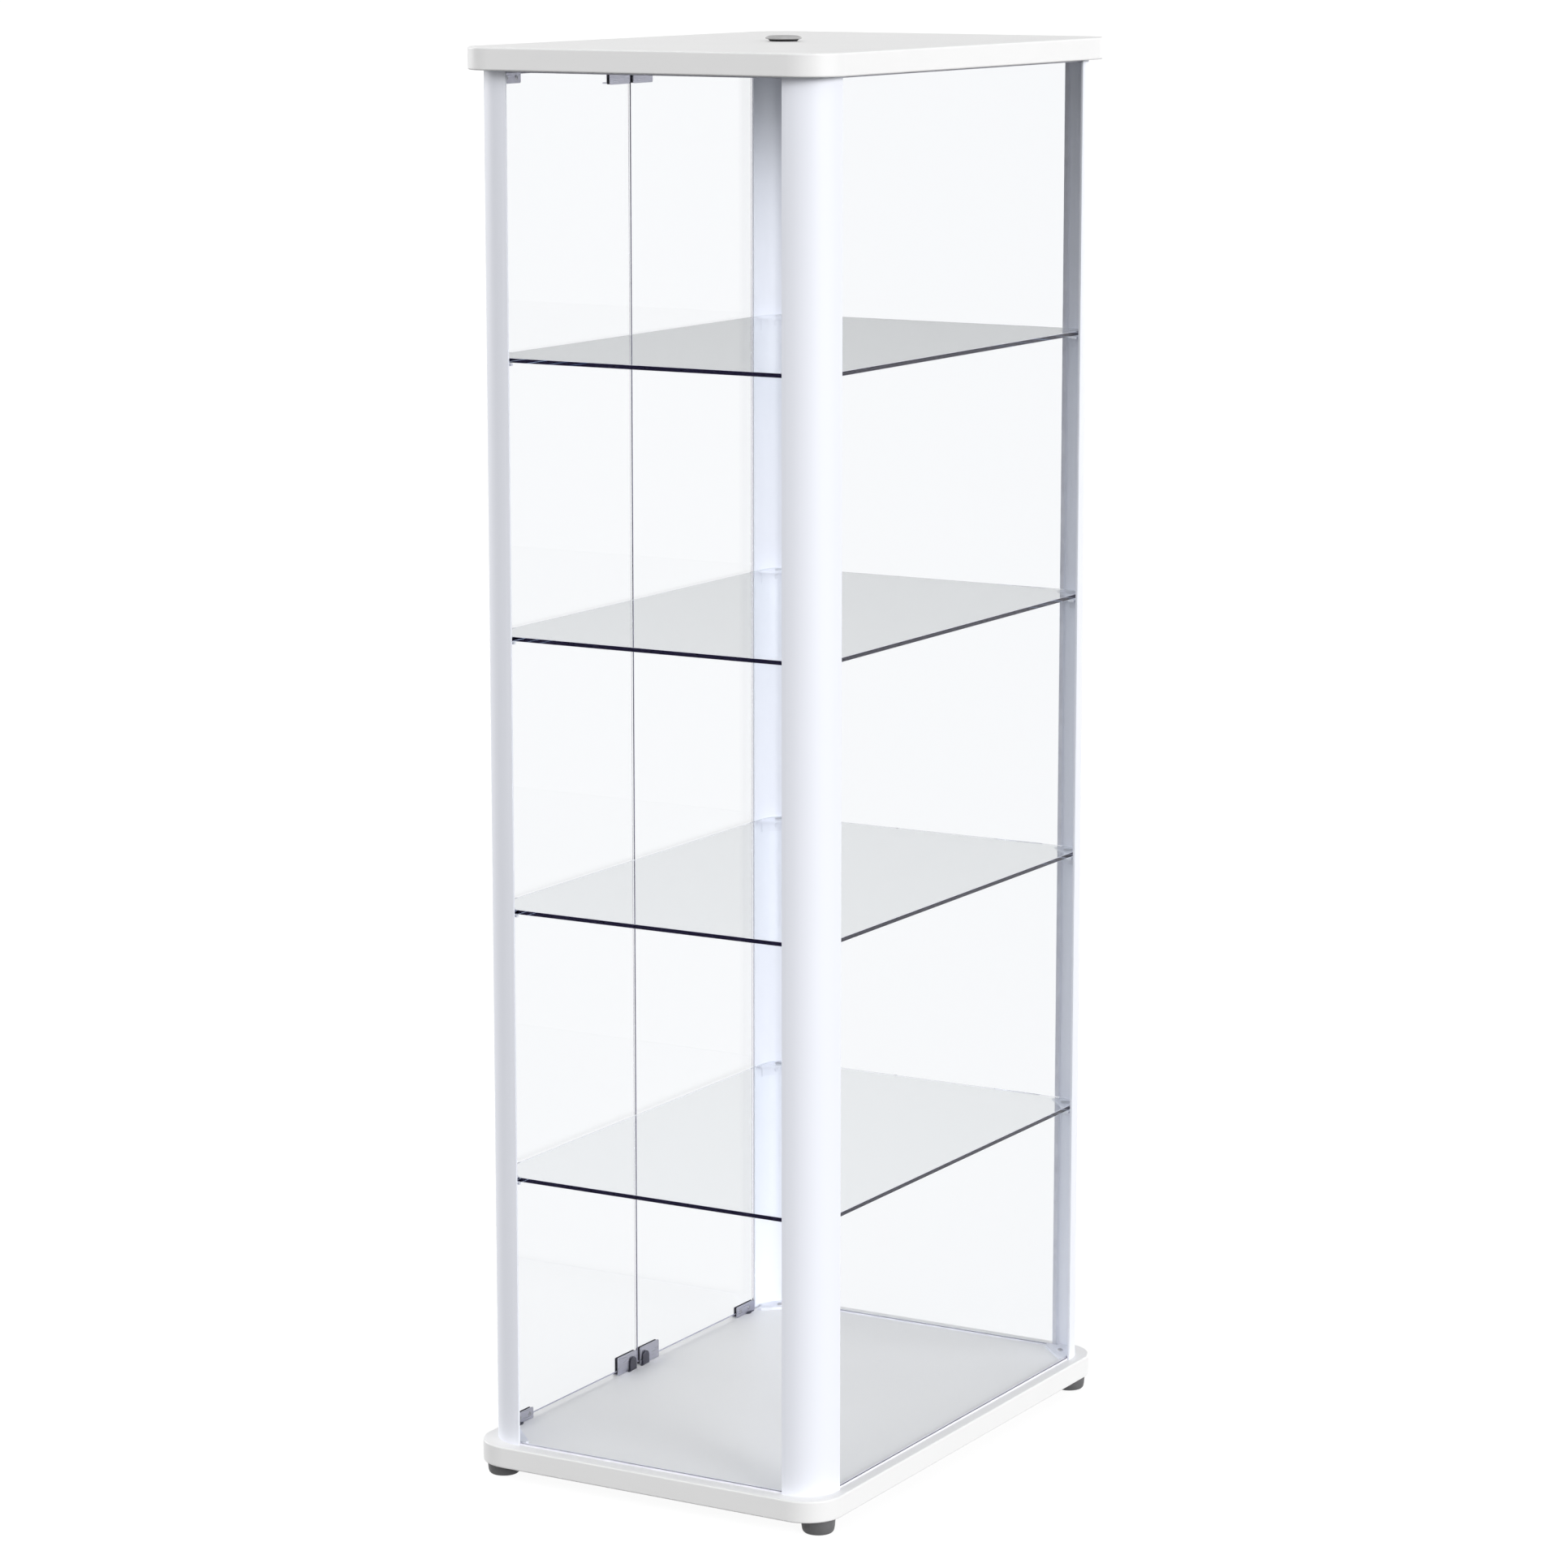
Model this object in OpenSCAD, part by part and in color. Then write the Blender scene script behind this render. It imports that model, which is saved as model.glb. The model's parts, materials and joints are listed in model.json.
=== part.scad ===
// Tall four-post display cabinet: two laminated boards, four rounded corner posts,
// three fixed glass panels, two frameless swing doors and four lift-out glass shelves.
// Units are millimetres. Floor is z = 0, doors face -Y, +X is the right-hand side.

/* [Boards] */
// Width of the top and base boards
board_width = 686; // [600:1:760]
// Depth of the top and base boards
board_depth = 464; // [400:1:520]
// Thickness of each board
board_thick = 25; // [18:0.5:30]
// Plan radius of the board corners
board_corner = 44; // [30:1:60]
// Rounded edge on the boards
board_edge = 2; // [1:0.25:4]
// Clear height between the boards
clear_height = 1550; // [1200:1:1700]

/* [Feet] */
// Height of the feet
foot_height = 18; // [10:0.5:30]
// Largest radius of a foot
foot_radius = 19.4; // [12:0.1:24]
// Foot centre from the middle plane, sideways
foot_x = 306.7; // [280:0.1:320]
// Foot centre from the middle plane, front to back
foot_y = 207; // [180:0.1:212]

/* [Posts] */
// Outer face of the posts from the middle plane, sideways
post_x = 328.25; // [300:0.25:334]
// Outer face of the posts from the middle plane, front to back
post_y = 220; // [200:0.25:224]
// Outer radius of the rounded post
post_radius = 42; // [35:0.5:48]
// Wall of the post
post_wall = 2; // [1.6:0.1:3]
// Length of the post flank measured from the outer corner
post_flank = 47.2; // [44:0.1:60]

/* [Glass] */
// Thickness of every glass panel, door and shelf
glass_thick = 5; // [4:0.5:6]
// How far a fixed panel runs behind the post flank
glass_lap = 8.5; // [6:0.5:10]
// Clear tape between panel and post
tape_thick = 0.5; // [0.4:0.1:1]
// Height of the strip under and over each fixed panel
seal_height = 1.5; // [1.5:0.5:4]

/* [Shelves] */
// Height of the lowest shelf surface
shelf_first = 356; // [250:1:420]
// Step from shelf to shelf
shelf_step = 308.3; // [220:0.1:330]
// Half width of a shelf
shelf_x = 319.5; // [300:0.5:320]
// Half depth of a shelf
shelf_y = 211.4; // [200:0.1:212]
// Corner radius of a shelf
shelf_corner = 30; // [26:0.5:36]

/* [Doors] */
// Gap between the two doors
door_gap = 2; // [1.5:0.5:4]
// Far edge of a door from the middle plane
door_edge = 275.5; // [270:0.5:277]
// Inner face of the door glass from the middle plane
door_face = 216.8; // [216:0.1:218]
// Gap between door glass and board
door_clear = 4.5; // [4:0.5:6]
// Extra room above a door, so that its pins lift clear
lift_room = 3.8; // [3:0.1:5]
// Hinge axis from the middle plane, sideways
pivot_x = 270; // [268:0.5:272]
// Hinge axis from the middle plane, front to back
pivot_y = 219.3; // [218.5:0.1:220]

/* [Hidden] */
$fn = 96;

base_lo = foot_height;
base_hi = base_lo + board_thick;
top_lo = base_hi + clear_height;
top_hi = top_lo + board_thick;
corner_x = post_x - post_radius;
corner_y = post_y - post_radius;
post_in = post_radius - post_wall;
glass_out = post_wall + tape_thick;
glass_in = glass_out + glass_thick;
liner = 0.8;
clip_wall = 1.2;
clip_y_in = door_face - liner - clip_wall;
clip_y_out = door_face + glass_thick + liner + clip_wall;
clip_lo = 0.6;
outlet_y = -14.7;
outlet_r = 13;
bush_depth = 8.5;
plate_thick = 3;
plate_screw = 25.5;

board_white = [0.93, 0.93, 0.93];
post_white = [0.90, 0.91, 0.93];
clear_glass = [0.86, 0.92, 0.91, 0.35];
clip_grey = [0.66, 0.66, 0.72];
bracket_grey = [0.78, 0.79, 0.82];
rubber_grey = [0.34, 0.34, 0.35];
pad_grey = [0.55, 0.56, 0.58];
dark = [0.10, 0.11, 0.14];
steel = [0.72, 0.72, 0.74];
vinyl = [0.92, 0.93, 0.94, 0.8];

function shelf_z(n) = shelf_first + (4 - n) * shelf_step;
function bracket_screw_z(n) = shelf_z(n) - glass_thick - pad_h - bracket_t - 7;

// ---------- shared shapes ----------

// places children once per post corner; local origin is the centre of the post
// radius and the outer corner lies towards +x +y
module at_corners(z = 0) {
  for (q = [[1, 1, 0], [-1, 1, 90], [-1, -1, 180], [1, -1, 270]])
    translate([q[0] * corner_x, q[1] * corner_y, z]) rotate([0, 0, q[2]]) children();
}

// half section of a board edge with both edges rounded
module edge_section(reach, t, e) {
  square([reach - e, t]);
  translate([0, e]) square([reach, t - 2 * e]);
  translate([reach - e, e]) circle(r = e);
  translate([reach - e, t - e]) circle(r = e);
}

module soft_board(w, d, t, r, e) {
  translate([-(w / 2 - r), -(d / 2 - r), 0]) cube([w - 2 * r, d - 2 * r, t]);
  for (a = [0, 180]) rotate([0, 0, a]) {
    translate([w / 2 - r, d / 2 - r, 0]) rotate([90, 0, 0])
      linear_extrude(d - 2 * r) edge_section(r, t, e);
    translate([-(w / 2 - r), d / 2 - r, 0]) rotate([90, 0, 90])
      linear_extrude(w - 2 * r) edge_section(r, t, e);
  }
  for (q = [[1, 1, 0], [-1, 1, 90], [-1, -1, 180], [1, -1, 270]])
    translate([q[0] * (w / 2 - r), q[1] * (d / 2 - r), 0]) rotate([0, 0, q[2]])
      rotate_extrude(angle = 90) edge_section(r, t, e);
}

// screw pointing down, top of head at z = 0, cross recess in the head
module screw(head_r, head_h, shank_r, len) {
  difference() {
    union() {
      translate([0, 0, -head_h]) cylinder(r1 = head_r, r2 = head_r * 0.8, h = head_h);
      translate([0, 0, -len]) cylinder(r = shank_r, h = len - head_h + 0.1);
    }
    for (a = [0, 90]) rotate([0, 0, a])
      translate([-head_r * 0.5, -head_r * 0.11, -head_h * 0.55])
        cube([head_r, head_r * 0.22, head_h]);
  }
}

// triangular plate tucked behind a post; local origin is the post radius centre,
// reach is the leg length from the outer corner and ends the truncated tip
module corner_plate(reach, ends, t, r_back) {
  k = post_radius;
  side = k - glass_in - 0.5;
  tip = k - reach;
  intersection() {
    union() {
      intersection() {
        cylinder(r = r_back, h = t);
        translate([k - 38, k - 38, 0]) cube([60, 60, t]);
      }
      translate([tip, tip, 0]) cube([side - tip, 4.5 - tip, t]);
      translate([tip, tip, 0]) cube([4.5 - tip, side - tip, t]);
    }
    linear_extrude(t) polygon([
      [tip, side + 10], [tip, side - ends], [side - ends, tip], [side + 10, tip],
      [side + 10, side + 10]]);
  }
}

// ---------- cabinet body ----------

module top_panel() color(board_white) difference() {
  translate([0, 0, top_lo])
    soft_board(board_width, board_depth, board_thick, board_corner, board_edge);
  translate([0, outlet_y, top_lo - 1]) cylinder(r = outlet_r + 1.6, h = board_thick + 2);
  for (s = [-1, 1]) translate([s * pivot_x, -pivot_y, top_lo - 1])
    cylinder(r = 4, h = bush_depth + 1);
  at_corners(top_lo - 1) translate([post_radius - plate_screw, post_radius - plate_screw, 0])
    cylinder(r = 1.7, h = 14);
}

module base_panel() color(board_white) difference() {
  translate([0, 0, base_lo])
    soft_board(board_width, board_depth, board_thick, board_corner, board_edge);
  for (s = [-1, 1]) translate([s * pivot_x, -pivot_y, base_hi - bush_depth])
    cylinder(r = 4, h = bush_depth + 1);
  at_corners(base_hi - 13) translate([post_radius - plate_screw, post_radius - plate_screw, 0])
    cylinder(r = 1.7, h = 14);
  for (x = [-1, 1], y = [-1, 1]) translate([x * foot_x, y * foot_y, base_lo - 1])
    cylinder(r = 2.5, h = 15);
}

// extruded corner post with a blind pilot hole for each bracket screw
module post(sx, sy, turn) color(post_white)
  translate([sx * corner_x, sy * corner_y, base_hi]) rotate([0, 0, turn]) {
    difference() {
      intersection() {
        cylinder(r = post_radius, h = clear_height);
        cube([post_radius + 1, post_radius + 1, clear_height]);
      }
      translate([0, 0, -1]) cylinder(r = post_in, h = clear_height + 2);
      for (n = [1 : 4]) rotate([0, 0, 45])
        translate([post_in - 1, 0, bracket_screw_z(n) - base_hi]) rotate([0, 90, 0])
          cylinder(r = 1.6, h = 2.5);
    }
    translate([post_in, -(post_flank - post_radius), 0])
      cube([post_wall, post_flank - post_radius, clear_height]);
    translate([-(post_flank - post_radius), post_in, 0])
      cube([post_flank - post_radius, post_wall, clear_height]);
  }

module post_back_right() post(1, 1, 0);
module post_back_left() post(-1, 1, 90);
module post_front_left() post(-1, -1, 180);
module post_front_right() post(1, -1, 270);

panel_lo = base_hi + seal_height;
panel_h = clear_height - 2 * seal_height;
side_half = post_y - post_flank + glass_lap;
back_half = post_x - post_flank + glass_lap;

module side_panel(s) color(clear_glass)
  translate([s * (post_x - glass_out - glass_thick / 2), 0, panel_lo + panel_h / 2])
    cube([glass_thick, 2 * side_half, panel_h], center = true);

module side_glass_right() side_panel(1);
module side_glass_left() side_panel(-1);

module back_glass() color(clear_glass)
  translate([-back_half, post_y - glass_in, panel_lo]) cube([2 * back_half, glass_thick, panel_h]);

tape_w = post_flank - post_radius - 0.4;
module panel_tapes() color(vinyl) {
  for (x = [-1, 1], y = [-1, 1])
    translate([x * (post_x - post_wall - tape_thick / 2), y * (corner_y - 0.3 - tape_w / 2),
               panel_lo + panel_h / 2])
      cube([tape_thick, tape_w, panel_h], center = true);
  for (x = [-1, 1])
    translate([x * (corner_x - 0.3 - tape_w / 2), post_y - post_wall - tape_thick / 2,
               panel_lo + panel_h / 2])
      cube([tape_w, tape_thick, panel_h], center = true);
}

module seals(z) color(vinyl) {
  for (s = [-1, 1]) translate([s * (post_x - glass_out - glass_thick / 2), 0, z + seal_height / 2])
    cube([glass_thick, 2 * side_half, seal_height], center = true);
  translate([-back_half, post_y - glass_in, z]) cube([2 * back_half, glass_thick, seal_height]);
}
module panel_seals_lower() seals(base_hi);
module panel_seals_upper() seals(top_lo - seal_height);

// ---------- shelves ----------

module shelf(n) color(clear_glass) translate([0, 0, shelf_z(n) - glass_thick]) {
  bx = shelf_x - shelf_corner;
  by = shelf_y - shelf_corner;
  translate([-bx, -shelf_y, 0]) cube([2 * bx, 2 * shelf_y, glass_thick]);
  for (s = [0, 180]) rotate([0, 0, s])
    translate([bx, -by, 0]) cube([shelf_corner, 2 * by, glass_thick]);
  for (q = [[1, 1, 0], [-1, 1, 90], [-1, -1, 180], [1, -1, 270]])
    translate([q[0] * bx, q[1] * by, 0]) rotate([0, 0, q[2]]) intersection() {
      cylinder(r = shelf_corner, h = glass_thick);
      cube([shelf_corner + 1, shelf_corner + 1, glass_thick]);
    }
}
module shelf_1() shelf(1);
module shelf_2() shelf(2);
module shelf_3() shelf(3);
module shelf_4() shelf(4);

pad_r = 5.4;
pad_h = 1.5;
pad_at = 23;
bracket_t = 2;
flange_h = 14;
back_r = post_in - 0.3;
module brackets(n) color(bracket_grey) at_corners(shelf_z(n) - glass_thick - pad_h - bracket_t)
  difference() {
    union() {
      corner_plate(46.5, 4, bracket_t, back_r);
      difference() {
        intersection() {
          translate([0, 0, -flange_h]) cylinder(r = back_r, h = flange_h + 0.5);
          translate([9, 9, -flange_h]) cube([40, 40, flange_h + 0.5]);
        }
        translate([0, 0, -flange_h - 1]) cylinder(r = back_r - 1.8, h = flange_h + 2);
      }
    }
    translate([post_radius - pad_at, post_radius - pad_at, -1]) cylinder(r = 1.8, h = 4);
    rotate([0, 0, 45]) translate([back_r - 4, 0, -7]) rotate([0, 90, 0]) cylinder(r = 1.6, h = 8);
  }
module shelf_1_brackets() brackets(1);
module shelf_2_brackets() brackets(2);
module shelf_3_brackets() brackets(3);
module shelf_4_brackets() brackets(4);

module pads(n) color(pad_grey) at_corners(shelf_z(n) - glass_thick - pad_h)
  translate([post_radius - pad_at, post_radius - pad_at, 0]) {
    cylinder(r1 = pad_r - 0.6, r2 = pad_r, h = pad_h);
    translate([0, 0, -bracket_t]) cylinder(r = 1.7, h = bracket_t + 0.1);
  }
module shelf_1_pads() pads(1);
module shelf_2_pads() pads(2);
module shelf_3_pads() pads(3);
module shelf_4_pads() pads(4);

module bracket_screws() color(steel) for (n = [1 : 4])
  at_corners(bracket_screw_z(n)) rotate([0, 0, 45]) translate([back_r - 3.4, 0, 0])
    rotate([0, -90, 0]) screw(3, 1.4, 1.5, 5);

// ---------- corner plates ----------

module plate_at(z) at_corners(z) difference() {
  corner_plate(52, 6, plate_thick, back_r);
  translate([post_radius - plate_screw, post_radius - plate_screw, -1])
    cylinder(r = 1.9, h = plate_thick + 2);
}
module lower_corner_plates() color(bracket_grey) plate_at(base_hi);
module upper_corner_plates() color(bracket_grey) plate_at(top_lo - plate_thick);

module plate_screws() color(steel) {
  at_corners(base_hi + plate_thick + 1.4)
    translate([post_radius - plate_screw, post_radius - plate_screw, 0]) screw(3.6, 1.4, 1.6, 15);
  at_corners(top_lo - plate_thick - 1.4)
    translate([post_radius - plate_screw, post_radius - plate_screw, 0])
      rotate([180, 0, 0]) screw(3.6, 1.4, 1.6, 15);
}

// ---------- feet ----------

module feet() color(rubber_grey) for (x = [-1, 1], y = [-1, 1])
  translate([x * foot_x, y * foot_y, 0]) rotate_extrude() polygon([
    [8, 0], [14, 0], [15.9, 0.6], [17.2, 1.9], [18, 3.9], [18.5, 7], [foot_radius, foot_height],
    [2.8, foot_height], [2.8, 10], [8, 10]]);

module foot_screws() color(steel) for (x = [-1, 1], y = [-1, 1])
  translate([x * foot_x, y * foot_y, 7]) rotate([180, 0, 0]) screw(6, 3, 2.4, 23);

// ---------- pivots and catches fixed to the boards ----------

lip_r = 7.4;
module bush() {
  difference() {
    union() {
      for (x = [0, -13]) translate([x, 0, 0]) cylinder(r = 5.7, h = 0.4);
      translate([-13, -5.7, 0]) cube([13, 11.4, 0.4]);
      translate([-10.3, 0, 0]) intersection() {
        cylinder(r = lip_r, h = 1.6);
        translate([-10, 4.8, 0]) cube([20, 5, 2]);
      }
      translate([0, 0, -bush_depth]) cylinder(r = 4, h = bush_depth + 0.4);
    }
    translate([0, 0, -bush_depth + 0.6]) cylinder(r = 2.06, h = bush_depth + 4);
  }
}
module pivot_bushes() color(dark) {
  for (s = [0, 1]) mirror([s, 0, 0]) {
    translate([pivot_x, -pivot_y, base_hi]) bush();
    translate([pivot_x, -pivot_y, top_lo]) mirror([0, 0, 1]) bush();
  }
}

arch_x = 14.4;
arch_w = 13.6;
arch_rise = 9.4;
module arch(grow, t) {
  r = arch_w / 2 + grow;
  translate([-r, 0, 0]) cube([2 * r, t, arch_rise]);
  translate([0, t, arch_rise]) rotate([90, 0, 0]) cylinder(r = r, h = t);
}
// plastic case stands on the board just behind the closed door clip
module case_one() difference() {
  union() {
    arch(0, 1.6);
    translate([6, 0, 0]) cube([4.8, 2.4, 1.2]);
  }
  translate([0, -1, 0.8]) arch(-2.2, 2);
}
module magnet_one() translate([0, 0.1, 0.8]) arch(-2.3, 0.8);
module four_catches() {
  for (s = [-1, 1]) translate([s * arch_x, -clip_y_in + 0.3, base_hi]) children();
  for (s = [-1, 1]) translate([s * arch_x, -clip_y_in + 0.3, top_lo]) mirror([0, 0, 1]) children();
}
module catch_cases() color(dark) four_catches() case_one();
module catch_magnets() color([0.2, 0.2, 0.22]) four_catches() magnet_one();

// ---------- doors (drawn for the right-hand door, then mirrored) ----------

door_lo = base_hi + door_clear;
door_top_clear = lift_room + clip_lo + clip_wall + liner;
door_h = clear_height - door_clear - door_top_clear;
hinge_x0 = 232;
hinge_len = 42.5;
hinge_high = 13;
catch_x0 = 4;
catch_len = 42;
catch_high = 21.5;
clip_round = 2;
screw_xs = [240.3, 260.4];
screw_z = 7.4;

module door_glass() color(clear_glass)
  translate([door_gap / 2, -door_face - glass_thick, door_lo])
    cube([door_edge - door_gap / 2, glass_thick, door_h]);

// plate outline seen from the room, free corners rounded, thick enough to trim a whole clip
module clip_outline(x0, len, high) translate([x0, -clip_y_in + 1, 0]) rotate([90, 0, 0])
  linear_extrude(clip_y_out - clip_y_in + 2) {
    square([len, high - clip_round]);
    translate([clip_round, 0]) square([len - 2 * clip_round, high]);
    for (x = [clip_round, len - clip_round]) translate([x, high - clip_round])
      circle(r = clip_round);
  }

// channel folded round the door edge, opening upwards, web at the bottom;
// outside plate and web are smaller than the rubber between the plates
module channel(x0, len, high) intersection() {
  difference() {
    translate([x0, -clip_y_out, clip_lo]) cube([len, clip_y_out - clip_y_in, high]);
    translate([x0 - 1, -clip_y_out + clip_wall, clip_lo + clip_wall])
      cube([len + 2, clip_y_out - clip_y_in - 2 * clip_wall, high]);
    for (x = [x0 - 1, x0 + len - 1.5]) translate([x, -clip_y_out - 1, -1])
      cube([2.5, clip_y_out - clip_y_in - clip_wall + 1, high + 3]);
    translate([x0 - 1, -clip_y_out - 1, clip_lo + high - 1])
      cube([len + 2, clip_wall + 1, 3]);
  }
  clip_outline(x0, len, clip_lo + high);
}
// edge is the height of the glass edge that the rubber carries
module channel_liner(x0, len, high, edge) intersection() {
  difference() {
    translate([x0, -clip_y_out + clip_wall, clip_lo + clip_wall])
      cube([len, clip_y_out - clip_y_in - 2 * clip_wall, high - clip_wall - 0.4]);
    translate([x0 - 1, -door_face - glass_thick, edge])
      cube([len + 2, glass_thick, high]);
  }
  clip_outline(x0, len, clip_lo + high - 0.4);
}
module liner_pair(x0, len, high) {
  translate([0, 0, base_hi]) channel_liner(x0, len, high, door_clear);
  translate([0, 0, top_lo - lift_room]) mirror([0, 0, 1])
    channel_liner(x0, len, high, clip_lo + clip_wall + liner);
}

// lower and upper copy of whatever a door carries at its two ends
module both_ends() {
  translate([0, 0, base_hi]) children();
  translate([0, 0, top_lo - lift_room]) mirror([0, 0, 1]) children();
}

module screw_holes(depth) both_ends() for (x = screw_xs)
  translate([x, -clip_y_in + 1, screw_z]) rotate([90, 0, 0]) cylinder(r = 1.6, h = depth);

module hinge_clips() color(clip_grey) difference() {
  both_ends() channel(hinge_x0, hinge_len, hinge_high);
  screw_holes(clip_wall + 1.7);
  both_ends() translate([pivot_x, -pivot_y, 0]) cylinder(r = 2.02, h = clip_lo + clip_wall + 0.1);
}
module hinge_liners() color(dark) difference() {
  liner_pair(hinge_x0, hinge_len, hinge_high);
  screw_holes(clip_wall + 1.7);
}
module hinge_pins() color(steel) translate([pivot_x, -pivot_y, 0]) {
  translate([0, 0, base_hi - 7.2]) cylinder(r = 2, h = 7.2 + clip_lo + clip_wall);
  translate([0, 0, top_lo - lift_room - clip_lo - clip_wall])
    cylinder(r = 2, h = 7.2 + lift_room + clip_lo + clip_wall);
}
module clamp_screws() color(steel) both_ends()
  for (x = screw_xs) translate([x, -clip_y_in + 0.9, screw_z]) rotate([-90, 0, 0])
    screw(2.7, 0.9, 1.5, 2.7);

module catch_clips() color(clip_grey) {
  both_ends() channel(catch_x0, catch_len, catch_high);
  translate([0, 0, top_lo - lift_room]) mirror([0, 0, 1]) {
    translate([catch_x0 + 1.5, -clip_y_out - 4.6, clip_lo + catch_high - 2.6])
      cube([catch_len - 3, 5.1, 1.6]);
    translate([catch_x0 + 1.5, -clip_y_out - 4.6, clip_lo + catch_high - 1.8])
      rotate([0, 90, 0]) cylinder(r = 0.8, h = catch_len - 3);
  }
}
module catch_liners() color(dark) liner_pair(catch_x0, catch_len, catch_high);

module left() mirror([1, 0, 0]) children();
module door_glass_right() door_glass();
module hinge_clips_right() hinge_clips();
module hinge_liners_right() hinge_liners();
module hinge_pins_right() hinge_pins();
module clamp_screws_right() clamp_screws();
module catch_clips_right() catch_clips();
module catch_liners_right() catch_liners();
module door_glass_left() left() door_glass();
module hinge_clips_left() left() hinge_clips();
module hinge_liners_left() left() hinge_liners();
module hinge_pins_left() left() hinge_pins();
module clamp_screws_left() left() clamp_screws();
module catch_clips_left() left() catch_clips();
module catch_liners_left() left() catch_liners();

// ---------- cord outlet in the top board ----------

// sleeve through the board with a raised lip; an open hole for the cord of a light
module cord_grommet() color([0.66, 0.66, 0.67]) translate([0, outlet_y, top_hi])
  rotate_extrude() polygon([
    [outlet_r, -board_thick + 2], [outlet_r + 1.4, -board_thick + 2], [outlet_r + 1.4, 2.2],
    [17.6, 2.2], [20.2, 2.9], [20.9, 3.4], [20.4, 4.1], [19, 5], [17.2, 5.8], [15.6, 6.3],
    [14.4, 6.4], [outlet_r + 0.5, 6.1], [outlet_r, 5.4]]);
// soft ring between the lip and the board
module grommet_gasket() color(dark) translate([0, outlet_y, top_hi])
  rotate_extrude() polygon([[14.6, 0], [15.2, 0], [17.4, 2.2], [14.6, 2.2]]);

// ---------- draw ----------

top_panel();
base_panel();
post_back_right();
post_back_left();
post_front_left();
post_front_right();
side_glass_right();
side_glass_left();
back_glass();
panel_tapes();
panel_seals_lower();
panel_seals_upper();
shelf_1();
shelf_2();
shelf_3();
shelf_4();
shelf_1_brackets();
shelf_2_brackets();
shelf_3_brackets();
shelf_4_brackets();
shelf_1_pads();
shelf_2_pads();
shelf_3_pads();
shelf_4_pads();
bracket_screws();
lower_corner_plates();
upper_corner_plates();
plate_screws();
feet();
foot_screws();
pivot_bushes();
catch_magnets();
catch_cases();
door_glass_right();
hinge_clips_right();
hinge_liners_right();
hinge_pins_right();
clamp_screws_right();
catch_clips_right();
catch_liners_right();
door_glass_left();
hinge_clips_left();
hinge_liners_left();
hinge_pins_left();
clamp_screws_left();
catch_clips_left();
catch_liners_left();
cord_grommet();
grommet_gasket();
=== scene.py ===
"""Looks for the curio cabinet: camera, materials, broken edges and studio around the CAD frame."""

import json
import math

import bpy
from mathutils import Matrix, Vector

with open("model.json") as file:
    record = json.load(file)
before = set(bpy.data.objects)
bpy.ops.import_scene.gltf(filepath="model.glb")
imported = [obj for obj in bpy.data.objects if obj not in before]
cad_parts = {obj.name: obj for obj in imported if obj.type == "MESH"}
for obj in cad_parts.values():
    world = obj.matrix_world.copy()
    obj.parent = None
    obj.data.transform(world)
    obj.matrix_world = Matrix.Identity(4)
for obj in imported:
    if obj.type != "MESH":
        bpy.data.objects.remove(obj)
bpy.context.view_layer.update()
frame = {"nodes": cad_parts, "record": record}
scene = bpy.context.scene
nodes = frame["nodes"]

# ---------------------------------------------------------------- camera

CAMERA_AT = Vector((4.83184, 2.78068, 1.79130))
CAMERA_TO = Vector((0.00613, -0.01060, 0.77238))
cam_data = bpy.data.cameras.new("camera")
cam_data.sensor_fit = "HORIZONTAL"
cam_data.sensor_width = 36.0
cam_data.lens = 113.0396
cam_data.clip_start, cam_data.clip_end = 0.05, 500.0
camera = bpy.data.objects.new("camera", cam_data)
scene.collection.objects.link(camera)
camera.location = CAMERA_AT
camera.rotation_mode = "QUATERNION"
camera.rotation_quaternion = (CAMERA_TO - CAMERA_AT).to_track_quat("-Z", "Y")
scene.camera = camera

# ---------------------------------------------------------------- material helpers


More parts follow.
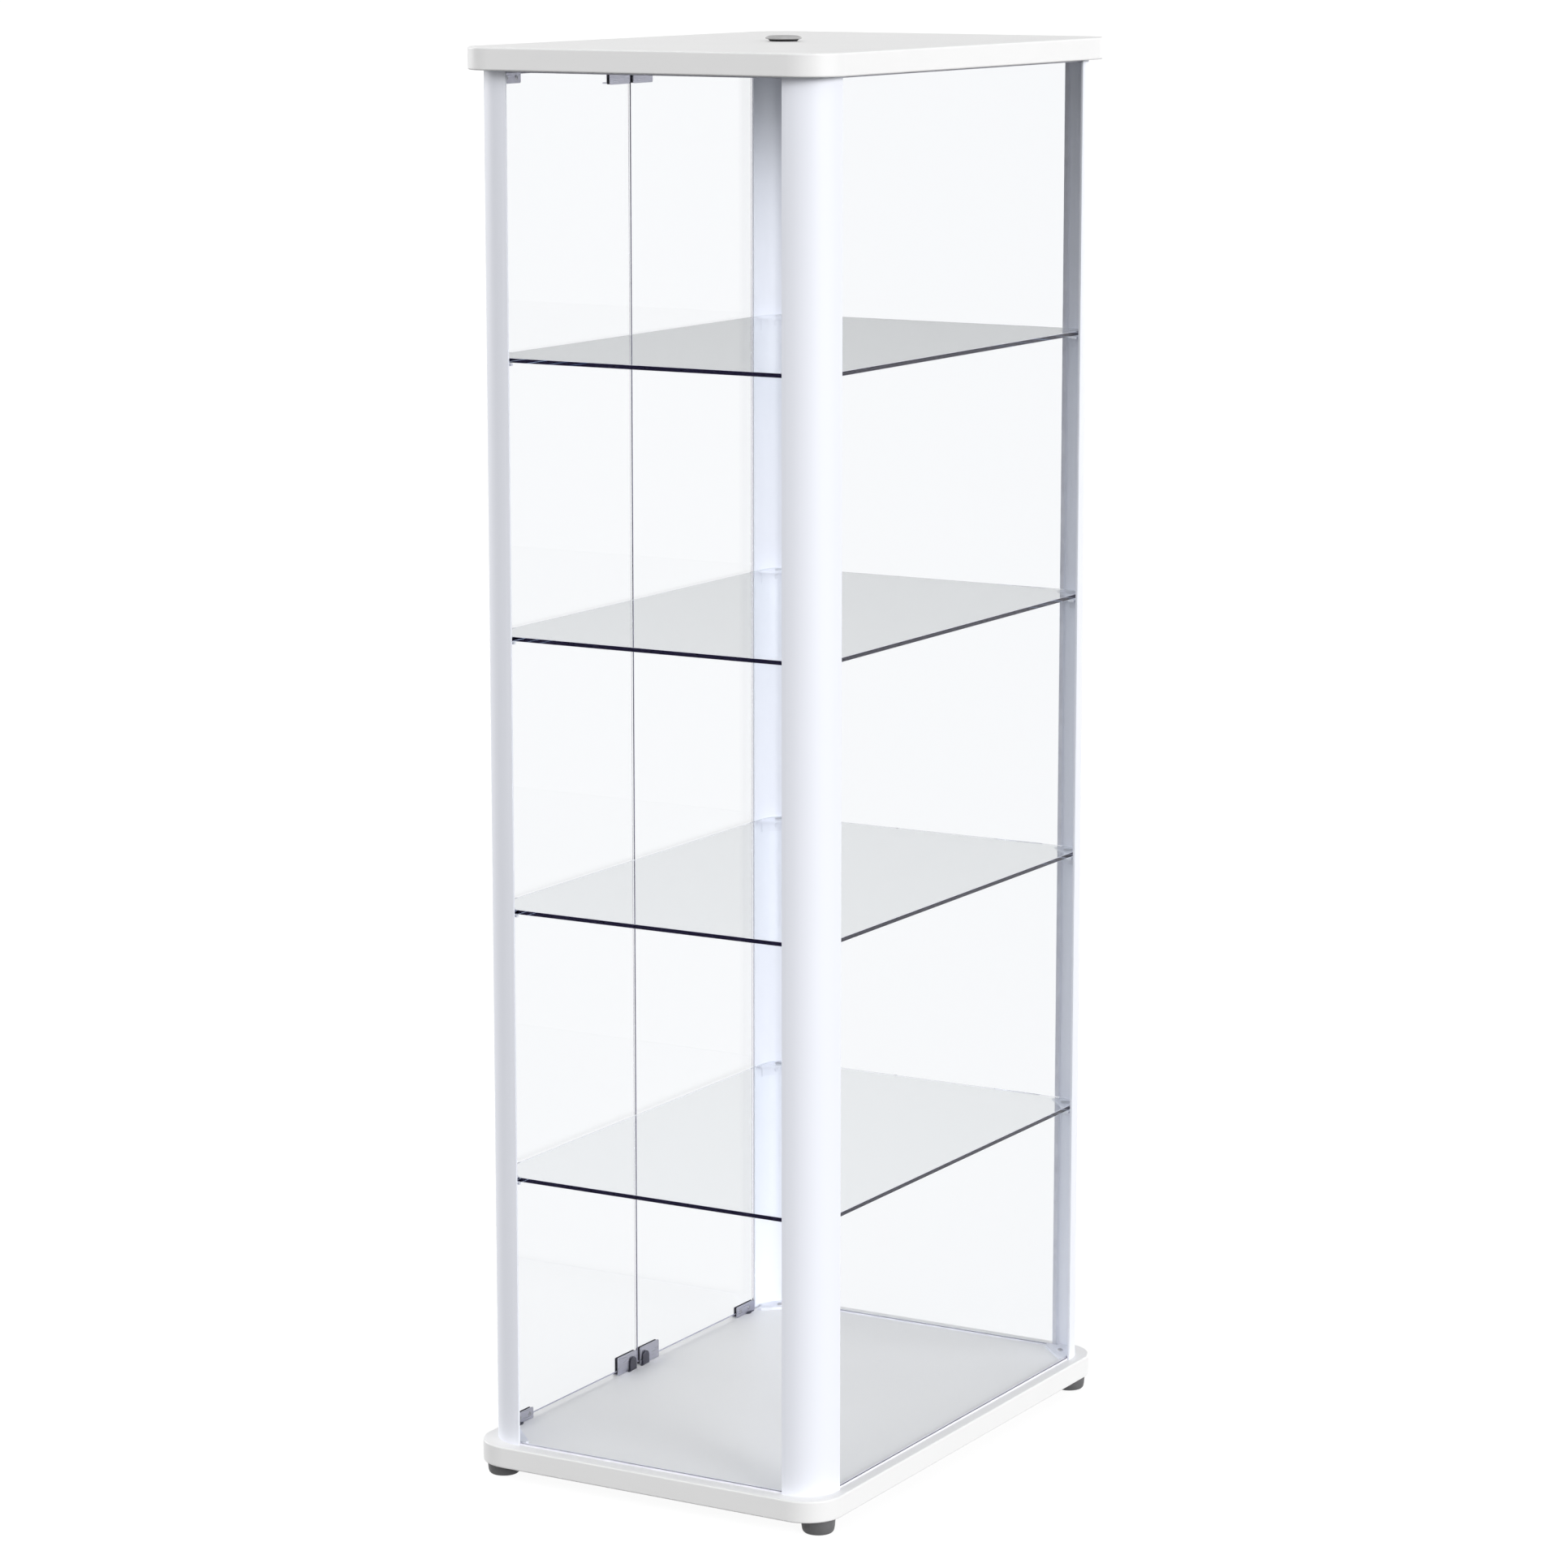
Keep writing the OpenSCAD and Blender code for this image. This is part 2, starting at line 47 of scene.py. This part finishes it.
class Mat:
    """A node material with a Principled shader and short ways to add procedural detail."""

    def __init__(self, name, color, rough, metal=0.0, **sockets):
        self.m = bpy.data.materials.new(name)
        self.m.use_nodes = True
        self.nt = self.m.node_tree
        self.nt.nodes.clear()
        self.out = self.node("ShaderNodeOutputMaterial")
        self.p = self.node("ShaderNodeBsdfPrincipled")
        self.link(self.p.outputs[0], self.out.inputs["Surface"])
        self.p.inputs["Base Color"].default_value = (*color, 1.0)
        self.p.inputs["Roughness"].default_value = rough
        self.p.inputs["Metallic"].default_value = metal
        for key, value in sockets.items():
            self.p.inputs[key.replace("_", " ")].default_value = value
        self._coord = None

    def node(self, kind, **props):
        n = self.nt.nodes.new(kind)
        for key, value in props.items():
            setattr(n, key, value)
        return n

    def link(self, a, b):
        self.nt.links.new(a, b)

    def coord(self, scale):
        if self._coord is None:
            self._coord = self.node("ShaderNodeTexCoord")
        if tuple(scale) == (1, 1, 1):
            return self._coord.outputs["Object"]
        mapping = self.node("ShaderNodeMapping")
        mapping.inputs["Scale"].default_value = scale
        self.link(self._coord.outputs["Object"], mapping.inputs["Vector"])
        return mapping.outputs[0]

    def noise(self, scale, detail, stretch=(1, 1, 1)):
        n = self.node("ShaderNodeTexNoise")
        n.inputs["Scale"].default_value = scale
        n.inputs["Detail"].default_value = detail
        self.link(self.coord(stretch), n.inputs["Vector"])
        return n.outputs["Fac"]

    def spread(self, fac, low, high):
        """Stretches the middle of a noise, 0.3 to 0.7, over low to high."""
        n = self.node("ShaderNodeMapRange")
        n.inputs["From Min"].default_value = 0.3
        n.inputs["From Max"].default_value = 0.7
        n.inputs["To Min"].default_value = low
        n.inputs["To Max"].default_value = high
        self.link(fac, n.inputs["Value"])
        return n.outputs[0]

    def vary_color(self, fac, a, b):
        """Base colour that goes from a to b with a noise."""
        n = self.node("ShaderNodeMix", data_type="RGBA")
        self.link(self.spread(fac, 0, 1), n.inputs[0])
        n.inputs[6].default_value = (*a, 1.0)
        n.inputs[7].default_value = (*b, 1.0)
        self.link(n.outputs[2], self.p.inputs["Base Color"])

    def vary_rough(self, fac, low, high):
        self.link(self.spread(fac, low, high), self.p.inputs["Roughness"])

    def bump(self, fac, distance, strength):
        n = self.node("ShaderNodeBump")
        n.inputs["Strength"].default_value = strength
        n.inputs["Distance"].default_value = distance
        self.link(fac, n.inputs["Height"])
        self.link(n.outputs[0], self.p.inputs["Normal"])


def tone(color, k):
    return tuple(min(1.0, c * k) for c in color)


def laminate(name, color):
    """White laminated board: faint pearl texture, slight cloudiness, satin sheen."""
    m = Mat(name, color, 0.38)
    cloud = m.noise(9.0, 3.0)
    m.vary_color(cloud, tone(color, 0.985), color)
    m.vary_rough(m.noise(160.0, 3.0), 0.33, 0.43)
    m.bump(m.noise(900.0, 2.0), 0.00002, 0.35)
    return m


def coated(name, color):
    """Satin coated extrusion with a fine orange peel."""
    m = Mat(name, color, 0.42)
    m.vary_color(m.noise(14.0, 2.0, (1, 1, 0.15)), tone(color, 0.985), color)
    m.vary_rough(m.noise(220.0, 2.0), 0.38, 0.46)
    m.bump(m.noise(1400.0, 2.0), 0.000015, 0.35)
    return m


def glass(name, tint, density, film, shine, shade=(1, 1, 1), ior=1.5):
    """Clear sheet. tint and density: absorption inside. film: colour of light that passes its faces.
    shine: tint of its reflections. shade: lamp and diffuse light that passes straight through."""
    m = Mat(name, film, 0.0, Transmission_Weight=1.0, IOR=ior)
    m.p.inputs["Specular Tint"].default_value = (*shine, 1.0)
    path = m.node("ShaderNodeLightPath")
    shader = m.p.outputs[0]
    for ray in ("Is Diffuse Ray", "Is Shadow Ray"):
        clear = m.node("ShaderNodeBsdfTransparent")
        clear.inputs["Color"].default_value = (*shade, 1.0)
        mix = m.node("ShaderNodeMixShader")
        m.link(path.outputs[ray], mix.inputs[0])
        m.link(shader, mix.inputs[1])
        m.link(clear.outputs[0], mix.inputs[2])
        shader = mix.outputs[0]
    m.link(shader, m.out.inputs["Surface"])
    inside = m.node("ShaderNodeVolumeAbsorption")
    inside.inputs["Color"].default_value = (*tint, 1.0)
    inside.inputs["Density"].default_value = density
    m.link(inside.outputs[0], m.out.inputs["Volume"])
    return m


def metal(name, color, rough, stretch):
    """Satin plated sheet. stretch: scale of its grain along X, Y and Z, below 1 where it is brushed."""
    m = Mat(name, color, rough, 1.0)
    lines = m.noise(500.0, 4.0, stretch)
    m.vary_color(lines, tone(color, 0.95), color)
    m.vary_rough(lines, rough - 0.04, rough + 0.04)
    m.bump(lines, 0.000004, 0.3)
    return m


def moulded(name, color, rough, scale=700.0, depth=0.00003):
    """Moulded plastic or rubber with a fine grained skin."""
    m = Mat(name, color, rough)
    m.vary_color(m.noise(60.0, 3.0), tone(color, 0.9), tone(color, 1.06))
    m.vary_rough(m.noise(300.0, 2.0), rough - 0.05, rough + 0.06)
    m.bump(m.noise(scale, 2.0), depth, 0.5)
    return m


# Absorption tint and density, film and shine of the doors and fixed panes.
PANE = ((0.40, 0.46, 0.53), 15.0, (0.995, 0.996, 0.998), (0.02, 0.02, 0.05))
MATS = {
    "white_laminate": laminate("white_laminate", (0.900, 0.900, 0.900)),
    "white_extrusion": coated("white_extrusion", (0.885, 0.905, 0.975)),
    "shelf_glass": glass(
        "shelf_glass", (0.45, 0.60, 0.75), 9.0, (1, 1, 1), (0.3, 0.25, 0.7), (0.998, 0.999, 1)
    ),
    "panel_glass": glass("panel_glass", *PANE),
    "low_glare_glass": glass("low_glare_glass", *PANE, ior=1.15),
    "clear_vinyl": moulded("clear_vinyl", (0.89, 0.89, 0.97), 0.35, 500.0, 0.00001),
    "coated_bracket": moulded("coated_bracket", (0.83, 0.845, 0.91), 0.38, 900.0, 0.00001),
    "grey_pad_rubber": moulded("grey_pad_rubber", (0.36, 0.37, 0.39), 0.6),
    "plated_steel": metal("plated_steel", (0.46, 0.46, 0.49), 0.32, (1, 1, 1)),
    "foot_rubber": moulded("foot_rubber", (0.118, 0.118, 0.122), 0.58),
    "clip_liner_rubber": moulded("clip_liner_rubber", (0.020, 0.020, 0.030), 0.6),
    "black_plastic": moulded("black_plastic", (0.030, 0.030, 0.045), 0.45),
    "magnet": moulded("magnet", (0.05, 0.05, 0.055), 0.5),
    "satin_clip": metal("satin_clip", (0.49, 0.49, 0.56), 0.30, (0.05, 1, 1)),
    "grey_plastic": moulded("grey_plastic", (0.42, 0.42, 0.42), 0.45),
    # The grommet's gasket is a real black part. Its near-black colour also stands in for the shade
    # under the grommet's lip, as painted shade.
    "black_gasket": moulded("black_gasket", (0.012, 0.012, 0.014), 0.7),
}

slots = {row["node"]: row["material_slot"] for row in frame["record"]["subparts"]}
# Pieces whose finish isn't their slot's own: the fixed panes reflect less than the doors,
# and the screws that hold the brackets are enamelled like them.
FINISHES = {
    "bracket_screws": "coated_bracket",
    "back_glass": "low_glare_glass",
    "side_glass_right": "low_glare_glass",
    "side_glass_left": "low_glare_glass",
}
for name, obj in nodes.items():
    obj.data.materials.clear()
    obj.data.materials.append(MATS[FINISHES.get(name, slots[name])].m)

# Broken edges by the start of the node's name: width in metres, and the colour painted on the bevel
# where it isn't the face's: a pale lavender painted highlight on the frosted arrises of the shelves and
# fixed panes, and a grey-blue painted shade on the doors' polished arrises.
# Frosted ground arris. Its pale lavender is also a painted highlight: the bright line that the glass
# arris shows.
FROSTED_ARRIS_HIGHLIGHT = moulded("frosted_arris_painted_highlight", (0.84, 0.84, 0.93), 0.6).m
# Painted shade: a grey-blue that stands in for the dark look of the door glass edges, which real glass
# gets from light inside it.
DOOR_EDGE_SHADE = moulded("painted_shade_arris", (0.42, 0.42, 0.52), 0.4).m
WELD_DISTANCE = 0.00001
SHARP = math.radians(50)
EDGED_SLOTS = ("shelf_glass", "panel_glass", "satin_clip")
EDGES = {
    "shelf": (0.0013, FROSTED_ARRIS_HIGHLIGHT),
    "side_glass": (0.0005, FROSTED_ARRIS_HIGHLIGHT),
    "back_glass": (0.0005, FROSTED_ARRIS_HIGHLIGHT),
    "door_glass": (0.0008, DOOR_EDGE_SHADE),
    "hinge_clips": (0.00025, None),
    "catch_clips": (0.00025, None),
}
for name, obj in nodes.items():
    if slots[name] not in EDGED_SLOTS:
        continue
    width, arris_paint = next(edge for start, edge in EDGES.items() if name.startswith(start))
    weld = obj.modifiers.new("weld", "WELD")
    weld.merge_threshold = WELD_DISTANCE
    bevel = obj.modifiers.new("arris", "BEVEL")
    bevel.width = width
    bevel.segments = 1 if arris_paint else 2
    bevel.limit_method = "ANGLE"
    bevel.angle_limit = SHARP
    bevel.use_clamp_overlap = True
    # The bevel takes the painted highlight or the painted shade as an opaque colour.
    if arris_paint:
        obj.data.materials.append(arris_paint)
        bevel.material = 1

# ---------------------------------------------------------------- studio

FLOOR_SIZE = 200.0
# The floor glows for the camera, in reflections and through glass. Diffuse rays see it unlit,
# so what it sends back up at the object is only the light that its grey bounces.
FLOOR_GLOW = 0.93
mesh = bpy.data.meshes.new("floor")
mesh.from_pydata(
    [(x * FLOOR_SIZE, y * FLOOR_SIZE, 0.0) for x, y in ((-1, -1), (1, -1), (1, 1), (-1, 1))],
    [],
    [(0, 1, 2, 3)],
)
floor = bpy.data.objects.new("floor", mesh)
scene.collection.objects.link(floor)
paper = Mat("floor_paper", (0.15, 0.15, 0.15), 0.9)
paper.p.inputs["Emission Color"].default_value = (1, 1, 1, 1)
paper.p.inputs["Specular IOR Level"].default_value = 0.0
path = paper.node("ShaderNodeLightPath")
glow = paper.node("ShaderNodeMapRange")
glow.inputs["To Min"].default_value = FLOOR_GLOW
glow.inputs["To Max"].default_value = 0.0
paper.link(path.outputs["Is Diffuse Ray"], glow.inputs["Value"])
paper.link(glow.outputs[0], paper.p.inputs["Emission Strength"])
paper.m.cycles.emission_sampling = "NONE"
mesh.materials.append(paper.m)


def direction(azimuth, elevation):
    """Unit vector; azimuth is degrees from +X towards +Y."""
    az, el = math.radians(azimuth), math.radians(elevation)
    return Vector((math.cos(el) * math.cos(az), math.cos(el) * math.sin(az), math.sin(el)))


# Soft boxes around the studio: azimuth, elevation, sharpness of the falloff, strength.
# The strengths, and those of the first three lamps, were fitted to the object's tones.
SOFT_BOXES = [
    (165, 6, 9, 0.996),
    (210, 6, 9, 0.354),
    (255, 6, 9, 0.180),
    (345, 6, 9, 0.242),
    (142.5, 32, 9, 0.653),
    (232.5, 32, 9, 1.172),
    (277.5, 32, 9, 1.258),
    (322.5, 32, 9, 1.446),
    (7.5, 32, 9, 1.501),
    (105, 5, 45, 0.302),
    (105, 16, 45, 0.455),
]
# Lamps: azimuth, elevation, apparent size in degrees, strength.
LAMPS = [
    (64, 18, 20, 0.334),
    (76, 12, 16, 0.262),
    (100, 14, 30, 0.277),
    (262, 3, 28, 0.300),
    (180, 3, 18, 0.240),
]

world = bpy.data.worlds.new("studio")
scene.world = world
world.use_nodes = True
wt = world.node_tree
wt.nodes.clear()
sky_out = wt.nodes.new("ShaderNodeOutputWorld")
sky = wt.nodes.new("ShaderNodeBackground")
wt.links.new(sky.outputs[0], sky_out.inputs["Surface"])
sky.inputs["Color"].default_value = (1, 1, 1, 1)
where = wt.nodes.new("ShaderNodeTexCoord").outputs["Generated"]


def world_math(operation, a, b):
    n = wt.nodes.new("ShaderNodeMath")
    n.operation = operation
    for socket, value in zip(n.inputs, (a, b)):
        if isinstance(value, (int, float)):
            socket.default_value = value
        else:
            wt.links.new(value, socket)
    return n.outputs[0]


total = None
for azimuth, elevation, sharpness, strength in SOFT_BOXES:
    dot = wt.nodes.new("ShaderNodeVectorMath")
    dot.operation = "DOT_PRODUCT"
    wt.links.new(where, dot.inputs[0])
    dot.inputs[1].default_value = direction(azimuth, elevation)
    lobe = world_math("POWER", world_math("MAXIMUM", dot.outputs["Value"], 0.0), float(sharpness))
    lobe = world_math("MULTIPLY", lobe, strength)
    total = lobe if total is None else world_math("ADD", total, lobe)
# Where the studio itself shows past the floor's edge, it is as white as the floor.
backdrop = wt.nodes.new("ShaderNodeMapRange")
wt.links.new(wt.nodes.new("ShaderNodeLightPath").outputs["Is Camera Ray"], backdrop.inputs["Value"])
wt.links.new(total, backdrop.inputs["To Min"])
backdrop.inputs["To Max"].default_value = 1.0
wt.links.new(backdrop.outputs[0], sky.inputs["Strength"])

for i, (azimuth, elevation, size, strength) in enumerate(LAMPS):
    lamp = bpy.data.lights.new(f"lamp_{i}", "SUN")
    lamp.energy = strength * math.pi
    lamp.angle = math.radians(size)
    holder = bpy.data.objects.new(f"lamp_{i}", lamp)
    scene.collection.objects.link(holder)
    holder.rotation_mode = "QUATERNION"
    holder.rotation_quaternion = (-direction(azimuth, elevation)).to_track_quat("-Z", "Y")

scene.view_settings.view_transform = "Standard"
